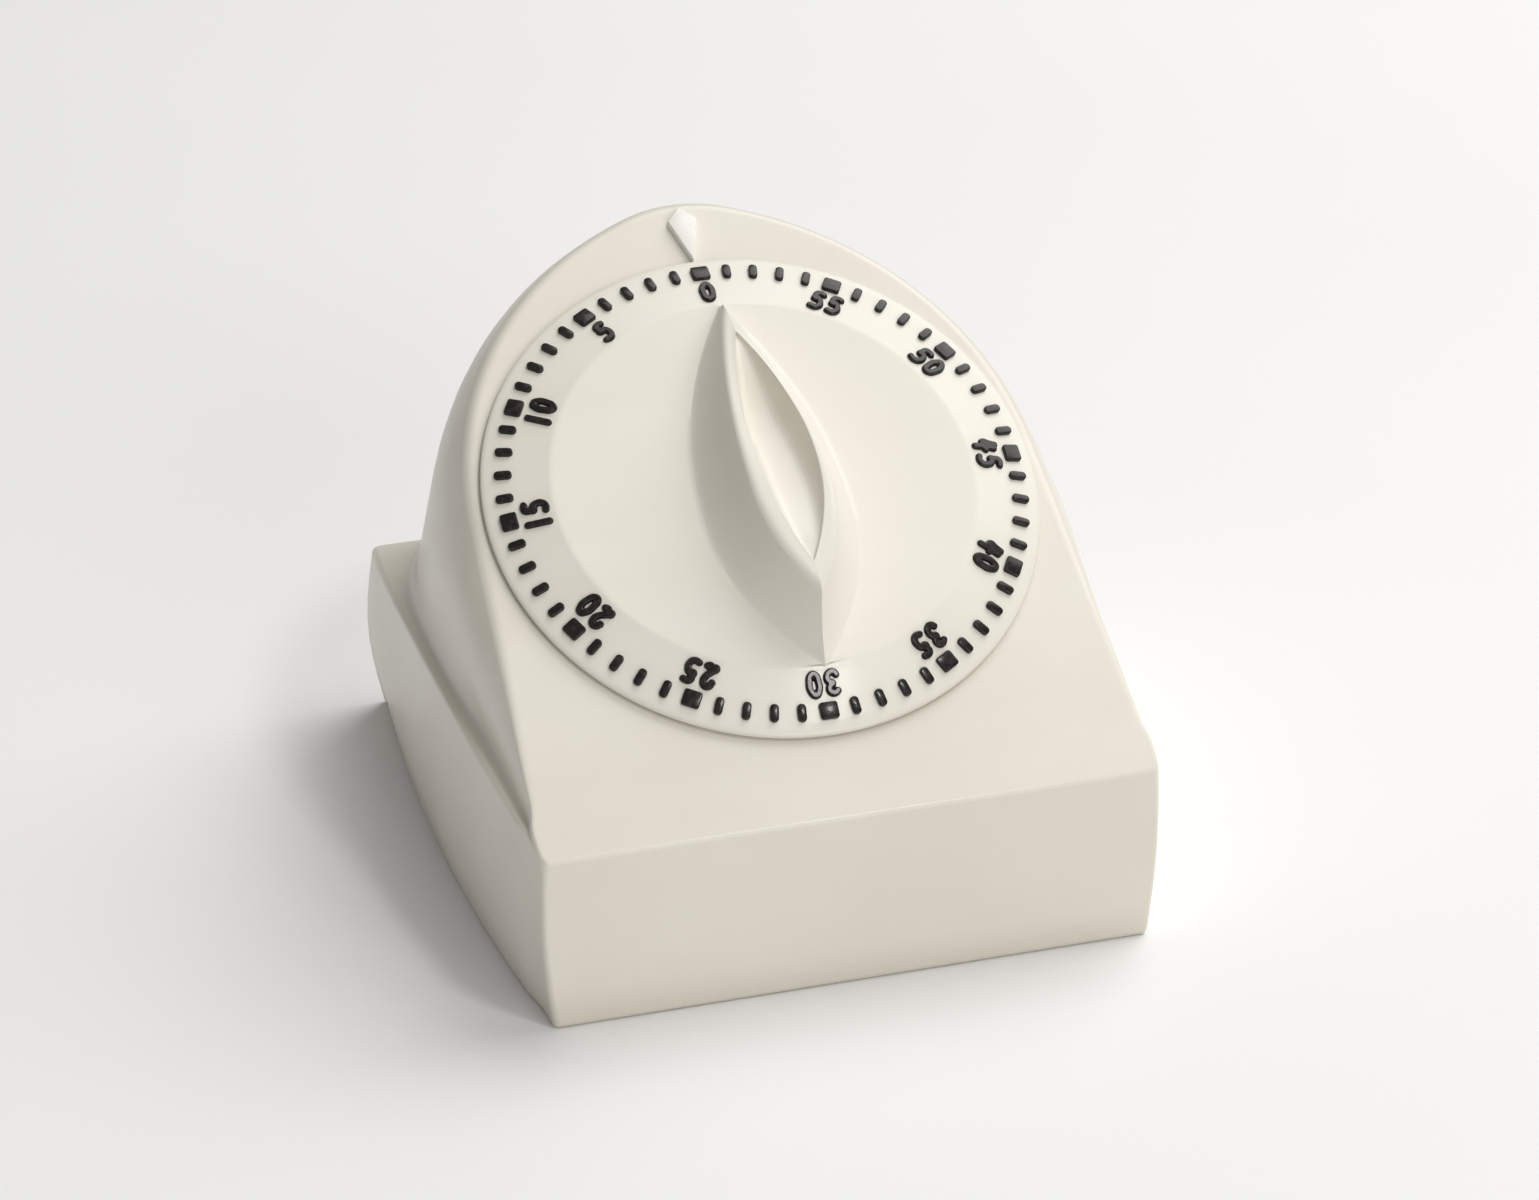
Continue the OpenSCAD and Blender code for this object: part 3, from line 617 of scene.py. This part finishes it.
# the top's flat band, rounded over at its edge
lip = loops[-1]
for share, drop in ((0.25, 0.0), (0.5, 0.0), (0.66, 0.03), (0.8, 0.11), (0.91, 0.24), (1.0, EDGE_DROP)):
    loop = [(mix(a[0], b[0], share), mix(a[1], b[1], share)) for a, b in zip(lip, edge)]
    loops.append([(u, v, deck(v) - drop) for u, v in loop])

# the sides, running out into the disc
for k in range(1, 19):
    t = k / 18
    spread = t**1.35
    loop = []
    for (u, v), below in zip(edge, toe):
        height = (deck(v) - EDGE_DROP - DISC_W) * (1 - t) ** 1.35
        loop.append((mix(u, below[0], spread), mix(v, below[1], mix(t, spread, 0.35)), DISC_W + height))
    loops.append(loop)
loops = [[(u + KNOB_U, v, w) for u, v, w in loop] for loop in loops]

# the disc, the number ring, the rim, and the underside in to the hub
toe = loops[-1]
for share in (0.03, 0.12, 0.3, 0.5, 0.7, 0.88, 0.97):
    loops.append([
        (mix(u, DISC_R * math.sin(a), share), mix(v, DISC_R * math.cos(a), share), DISC_W)
        for a, (u, v, w) in zip(turns(), toe)
    ])
for radius, height in (
    (DISC_R, DISC_W), (24.5, 2.87), (24.8, 2.78), (25.3, 2.655), (26.5, 2.36), (28.5, 1.86), (30.5, 1.37),
    (31.45, 1.12), (31.7, 1.02), (31.88, 0.88), (31.96, 0.7), (31.96, 0.5), (31.85, 0.42), (30.6, 0.42), (29.9, 0.6),
    (24.0, 1.45), (8.0, 1.45), (4.6, 1.45), (4.3, 1.3), (4.3, -1.6), (4.15, -1.75), (2.0, -1.75), (0.0, -1.75),
):
    loops.append([(radius * math.sin(a), radius * math.cos(a), height) for a in turns()])

bpy.ops.object.select_all(action="DESELECT")
bpy.ops.mesh.primitive_grid_add(x_subdivisions=AROUND, y_subdivisions=len(loops) - 1, size=0.1)
dial = bpy.context.active_object
dial.name = "dial_moulding"
for j, loop in enumerate(loops):
    for k in range(AROUND + 1):
        u, v, w = loop[k % AROUND]
        dial.data.vertices[j * (AROUND + 1) + k].co = FACE_PLACE @ (Vector((u, v, w)) * MM)
bpy.ops.object.mode_set(mode="EDIT")
bpy.ops.mesh.select_all(action="SELECT")
bpy.ops.mesh.remove_doubles(threshold=2e-6)
bpy.ops.mesh.normals_make_consistent(inside=False)
bpy.ops.object.mode_set(mode="OBJECT")
bpy.ops.object.shade_smooth_by_angle(angle=math.radians(28))
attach(dial, "dial_unit")
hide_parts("dial")
dial.data.materials.clear()
dial.data.materials.append(ivory("ivory_dial", (0.825, 0.795, 0.71), (0.795, 0.76, 0.67), 0.4, False))

# ---- Minute marks ----
# 48 short bars and 12 blocks raised on the number ring, their tops coated with glossy black foil.

RING_SLOPE = math.atan2(DISC_W - 1.05, 31.7 - DISC_R)
MARK_R = 29.5


def ring_place(angle, radius):
    """The frame of a spot on the number ring, this far round from the top and out from the centre."""
    height = DISC_W - (radius - DISC_R) * math.tan(RING_SLOPE)
    return (
        FACE_PLACE
        @ Matrix.Rotation(angle, 4, "Z")
        @ Matrix.Translation((0, radius * MM, height * MM))
        @ Matrix.Rotation(-RING_SLOPE, 4, "X")
    )


def foil_block(name, width, length, corner, sides):
    """A small raised block with rounded corners and softened top edges, standing on the origin."""
    bpy.ops.object.select_all(action="DESELECT")
    bpy.ops.mesh.primitive_cube_add(size=MM, location=(0, 0, 0.15 * MM), scale=(width, length, 0.7))
    block = bpy.context.active_object
    block.name = name
    bpy.ops.object.transform_apply(location=True, rotation=False, scale=True)
    bpy.ops.object.mode_set(mode="EDIT")
    bpy.ops.mesh.select_mode(type="EDGE")
    bpy.ops.mesh.select_all(action="DESELECT")
    bpy.ops.object.mode_set(mode="OBJECT")
    for edge in block.data.edges:
        a, b = (block.data.vertices[i].co for i in edge.vertices)
        edge.select = abs(a.z - b.z) > 0.3 * MM
    bpy.ops.object.mode_set(mode="EDIT")
    bpy.ops.mesh.bevel(offset=corner * MM, segments=sides, profile=0.5, affect="EDGES")
    bpy.ops.mesh.select_all(action="DESELECT")
    bpy.ops.object.mode_set(mode="OBJECT")
    for edge in block.data.edges:
        a, b = (block.data.vertices[i].co for i in edge.vertices)
        edge.select = min(a.z, b.z) > 0.45 * MM
    bpy.ops.object.mode_set(mode="EDIT")
    bpy.ops.mesh.bevel(offset=0.13 * MM, segments=3, profile=0.5, affect="EDGES")
    bpy.ops.object.mode_set(mode="OBJECT")
    bpy.ops.object.shade_smooth_by_angle(angle=math.radians(40))
    return block


def copies(pattern, places):
    made = []
    for place in places:
        piece = pattern.copy()
        piece.data = pattern.data.copy()
        piece.data.transform(place)
        bpy.context.collection.objects.link(piece)
        made.append(piece)
    bpy.data.objects.remove(pattern)
    return made


bars = copies(
    foil_block("bar", 0.98, 2.05, 0.44, 4),
    [ring_place(math.radians(6 * k), MARK_R) for k in range(60) if k % 5],
)
blocks = copies(
    foil_block("block", 2.1, 1.95, 0.3, 3),
    [ring_place(math.radians(30 * k), MARK_R) for k in range(12)],
)
marks = bars[0]
join(marks, bars[1:] + blocks)
marks.name = "marks"


def black_foil(wire):
    wear = wire.noise(1500, 4, 0.6)
    pit = wire.noise(5200, 2, 0.5)
    return {
        "Base Color": wear.between(0.4, 0.75).colours((0.012, 0.011, 0.010), (0.035, 0.032, 0.028)),
        "Roughness": 0.16 + wear * 0.12,
        "Normal": bump(wire, pit, 0.25, 0.00003),
    }


foil_gloss = {"IOR": 1.45, "Specular IOR Level": 0.3, "Coat Weight": 0.1, "Coat Roughness": 0.06}
foil = finish("black_foil", foil_gloss, black_foil)
marks.data.materials.clear()
marks.data.materials.append(foil)
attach(marks, "dial_unit")
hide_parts("minute_marks")

# ---- Minute numbers ----
# Raised brush-drawn numbers from 0 to 55, every five minutes and running anticlockwise, coated like the marks.

STROKE_R = 0.44
NUMBER_R = 26.45
DIGIT_STEP = 2.08
STROKES = {
    0: ([(0, 0.5), (-0.42, 0.28), (-0.48, -0.1), (-0.2, -0.48), (0.18, -0.46), (0.48, -0.1), (0.42, 0.3)], True),
    1: ([(0.02, 0.5), (-0.02, -0.5)], False),
    2: ([(-0.48, 0.26), (-0.3, 0.46), (0.1, 0.5), (0.42, 0.3), (0.3, 0.02), (-0.1, -0.22), (-0.45, -0.46), (-0.1, -0.4),
         (0.2, -0.5), (0.5, -0.44)], False),
    3: ([(-0.45, 0.4), (-0.1, 0.5), (0.36, 0.4), (0.3, 0.16), (-0.06, 0.04), (0.34, -0.04), (0.46, -0.26),
         (0.12, -0.47), (-0.3, -0.48), (-0.5, -0.34)], False),
    4: ([(-0.14, 0.5), (-0.3, 0.2), (-0.46, -0.1), (-0.1, -0.1), (0.48, -0.02)], False),
    5: ([(0.5, 0.46), (0.14, 0.5), (-0.2, 0.44), (-0.26, 0.2), (-0.3, 0.06), (0.1, 0.1), (0.42, -0.12), (0.34, -0.38),
         (-0.02, -0.5), (-0.5, -0.46)], False),
}


def glyph(digit):
    """A digit as a stroke with round ends, flattened on top, standing on the origin."""
    lines = [STROKES[digit]]
    if digit == 4:
        lines.append(([(0.3, 0.42), (0.16, -0.02), (0.06, -0.5)], False))
    parts = []
    for points, closed in lines:
        data = bpy.data.curves.new("stroke", "CURVE")
        data.dimensions = "3D"
        data.bevel_depth = STROKE_R * MM
        data.bevel_resolution = 4
        data.use_fill_caps = True
        data.resolution_u = 5
        spline = data.splines.new("BEZIER")
        spline.bezier_points.add(len(points) - 1)
        spline.use_cyclic_u = closed
        places = [Vector((x * 1.12 + 0.08 * y, y * 2.5, 0)) * MM for x, y in points]
        for knot, place in zip(spline.bezier_points, places):
            knot.co = place
            knot.handle_left_type = knot.handle_right_type = "AUTO"
        piece = bpy.data.objects.new("stroke", data)
        bpy.context.collection.objects.link(piece)
        bpy.ops.object.select_all(action="DESELECT")
        piece.select_set(True)
        bpy.context.view_layer.objects.active = piece
        bpy.ops.object.convert(target="MESH")
        parts.append(bpy.context.active_object)
        if not closed:
            for end in (places[0], places[-1]):
                bpy.ops.mesh.primitive_uv_sphere_add(segments=16, ring_count=10, radius=STROKE_R * MM, location=end)
                bpy.ops.object.transform_apply(location=True, rotation=True, scale=True)
                parts.append(bpy.context.active_object)
    join(parts[0], parts[1:])
    shape = bpy.context.active_object
    apply_modifier(shape, "REMESH", mode="VOXEL", voxel_size=0.085 * MM)
    for vertex in shape.data.vertices:
        vertex.co.z = min(max(vertex.co.z, -0.25 * MM) * 1.25, 0.42 * MM)
    bpy.ops.object.shade_smooth()
    return shape


numbers = []
for digit in range(6):
    places = []
    for minute in range(0, 60, 5):
        written = str(minute)
        for k, letter in enumerate(written):
            if int(letter) == digit:
                shift = (k - (len(written) - 1) / 2) * DIGIT_STEP * MM
                place = ring_place(math.radians(6 * minute), NUMBER_R) @ Matrix.Translation((shift, 0, 0))
                places.append(place)
    numbers += copies(glyph(digit), places)
numerals = numbers[0]
join(numerals, numbers[1:])
numerals.name = "numbers"
numerals.data.materials.clear()
numerals.data.materials.append(foil)
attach(numerals, "dial_unit")
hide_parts("minute_numbers")

# ---- Base plate, movement and bell ----
# The base plate and movement plates are zinc-coated steel, the wheels rolled brass, the arbors and screws drawn or
# turned steel, the springs blued steel, and the bell nickel-plated.


def metal(name, light, deep, rough, stretch, tarnish, tarnish_share):
    """Bare or plated metal with the marks of how it was made, cloudy tarnish and fine scratches."""

    def build(wire):
        cloud = wire.noise(160, 5, 0.6)
        made = wire.noise(2400, 2, 0.5, stretch=stretch)
        spot = wire.noise(900, 3, 0.6).between(0.62, 0.74)
        scratch = wire.noise(1500, 2, 0.4, stretch=(0.08, 1, 1)).between(0.64, 0.68)
        colour = cloud.between(0.35, 0.68).colours(light, deep)
        colour = (spot * tarnish_share).colours(colour, tarnish)
        return {
            "Base Color": colour,
            "Roughness": rough + (cloud - 0.5) * 0.2 + spot * 0.15 + made * 0.06,
            "Normal": bump(wire, made * 0.8 - scratch * 0.4, 0.25, 0.00004),
        }

    return finish(name, {"Metallic": 1.0}, build)


METALS = {
    "zinc_plate": ((0.66, 0.67, 0.68), (0.54, 0.55, 0.57), 0.34, (1, 0.12, 1), (0.4, 0.38, 0.35), 0.35),
    "steel": ((0.60, 0.59, 0.57), (0.49, 0.48, 0.47), 0.28, (0.2, 1, 1), (0.28, 0.22, 0.17), 0.3),
    "brass": ((0.83, 0.62, 0.27), (0.70, 0.50, 0.20), 0.3, (1, 0.15, 1), (0.36, 0.25, 0.12), 0.4),
    "blued_spring": ((0.14, 0.17, 0.24), (0.09, 0.11, 0.17), 0.26, (1, 1, 0.15), (0.2, 0.14, 0.1), 0.3),
    "bell_nickel": ((0.72, 0.71, 0.68), (0.62, 0.61, 0.58), 0.16, (1, 1, 0.3), (0.4, 0.36, 0.3), 0.25),
}
MADE_OF = {
    "zinc_plate": ["base_plate", "front_plate", "back_plate", "alarm_lever"],
    "steel": [
        "base_screws", "dial_arbor", "ratchet_wheel", "click", "pillars", "pillar_nuts", "movement_screws",
        "plate_studs", "second_arbor", "third_arbor", "escape_arbor", "balance_staff", "hammer_arbor", "hammer",
        "bell_post", "bell_nut",
    ],
    "brass": [
        "thrust_washer", "alarm_cam", "main_wheel", "second_wheel", "third_wheel", "escape_wheel", "balance_wheel",
    ],
    "blued_spring": ["mainspring", "hairspring", "hammer_spring"],
    "bell_nickel": ["bell"],
}
for kind, names in MADE_OF.items():
    made_metal = metal(kind, *METALS[kind])
    for name in names:
        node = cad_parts[name]
        node.data.materials.clear()
        node.data.materials.append(made_metal)

# ---- Room ----
# A pale seamless floor, a large soft light above and to the right, a small one in front whose reflection shows on the
# lowest marks, a soft one at the front, and the camera in front and to the left.

LAMP_COLOUR = (1.0, 0.99, 0.975)

bpy.ops.object.select_all(action="DESELECT")
bpy.ops.mesh.primitive_plane_add(size=6, location=(0, 0, -0.00002))
floor = bpy.context.active_object
floor.name = "floor"


def floor_paint(wire):
    cloud = wire.noise(6, 3, 0.5)
    return {"Base Color": cloud.between(0.3, 0.7).colours((0.94, 0.94, 0.94), (0.92, 0.92, 0.92))}


floor.data.materials.append(finish("floor", {"Roughness": 0.7}, floor_paint))


def lamp(name, place, aim, size, power):
    """A square soft light at place, facing aim."""
    data = bpy.data.lights.new(name, "AREA")
    data.shape = "SQUARE"
    data.size = size
    data.energy = power
    data.color = LAMP_COLOUR
    light = bpy.data.objects.new(name, data)
    light.location = place
    light.rotation_euler = (Vector(aim) - Vector(place)).to_track_quat("-Z", "Y").to_euler()
    bpy.context.collection.objects.link(light)


lamp("key", (0.62, 0.34, 0.98), (0, 0, 0.04), 1.0, 10.2)
lamp("glare", (0.25, -0.483, 0.839), (0, 0, 0.04), 0.11, 1.5)
lamp("fill", (0.25, -1.1, 0.45), (0, 0, 0.03), 0.6, 3.6)

world = bpy.data.worlds.new("room")
world.use_nodes = True
world.node_tree.nodes["Background"].inputs["Color"].default_value = (*LAMP_COLOUR, 1)
world.node_tree.nodes["Background"].inputs["Strength"].default_value = 0.265
bpy.context.scene.world = world
bpy.context.scene.view_settings.view_transform = "Standard"

lens_data = bpy.data.cameras.new("camera")
lens_data.sensor_width = 36
lens_data.lens = 132.75
lens_data.clip_start = 0.01
camera = bpy.data.objects.new("camera", lens_data)
place = Vector((-162.7, -556.1, 327.7)) * MM
aim = Vector((2.17, 0.0, 27.78)) * MM
turn = (aim - place).to_track_quat("-Z", "Y").to_matrix().to_4x4() @ Matrix.Rotation(math.radians(-0.37), 4, "Z")
camera.matrix_world = Matrix.Translation(place) @ turn
bpy.context.collection.objects.link(camera)
bpy.context.scene.camera = camera
